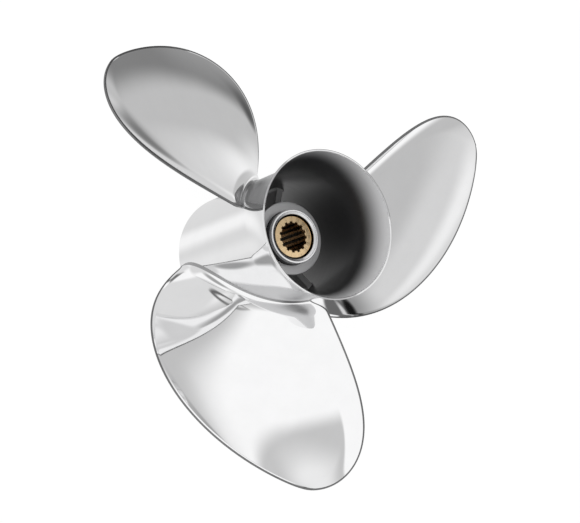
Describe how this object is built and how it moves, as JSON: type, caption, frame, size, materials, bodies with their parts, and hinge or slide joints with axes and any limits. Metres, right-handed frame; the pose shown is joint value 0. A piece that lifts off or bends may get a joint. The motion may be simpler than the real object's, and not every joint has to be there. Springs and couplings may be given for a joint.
{
  "type": "through-hub exhaust boat propeller",
  "caption": "Right-hand boat propeller: cupped, raked blades on a flared hollow barrel, with exhaust passages around a rubber-cushioned, splined inner hub.",
  "frame": {"origin": "the propeller's balance point, on the shaft axis, 74.8 mm aft of the barrel's front face", "axes": "+Z runs aft along the shaft axis, out of the flared end; +X points along the tip line of blade_1; the part stands on the barrel's front face"},
  "size_m": [0.3443, 0.3574, 0.16],
  "materials": {
    "polished_steel": "mirror-polished stainless steel",
    "cast_steel": "dull cast stainless steel",
    "turned_steel": "lathe-turned steel",
    "brass": "machined brass",
    "rubber": "black moulded rubber"
  },
  "bodies": {
    "root": {"barrel": "polished_steel", "blade_1": "polished_steel", "blade_2": "polished_steel", "blade_3": "polished_steel", "inner_hub": "cast_steel", "rib_1": "cast_steel", "rib_2": "cast_steel", "rib_3": "cast_steel", "steel_sleeve": "turned_steel", "rubber_cushion": "rubber", "spline_sleeve": "brass"}
  },
  "joints": []
}
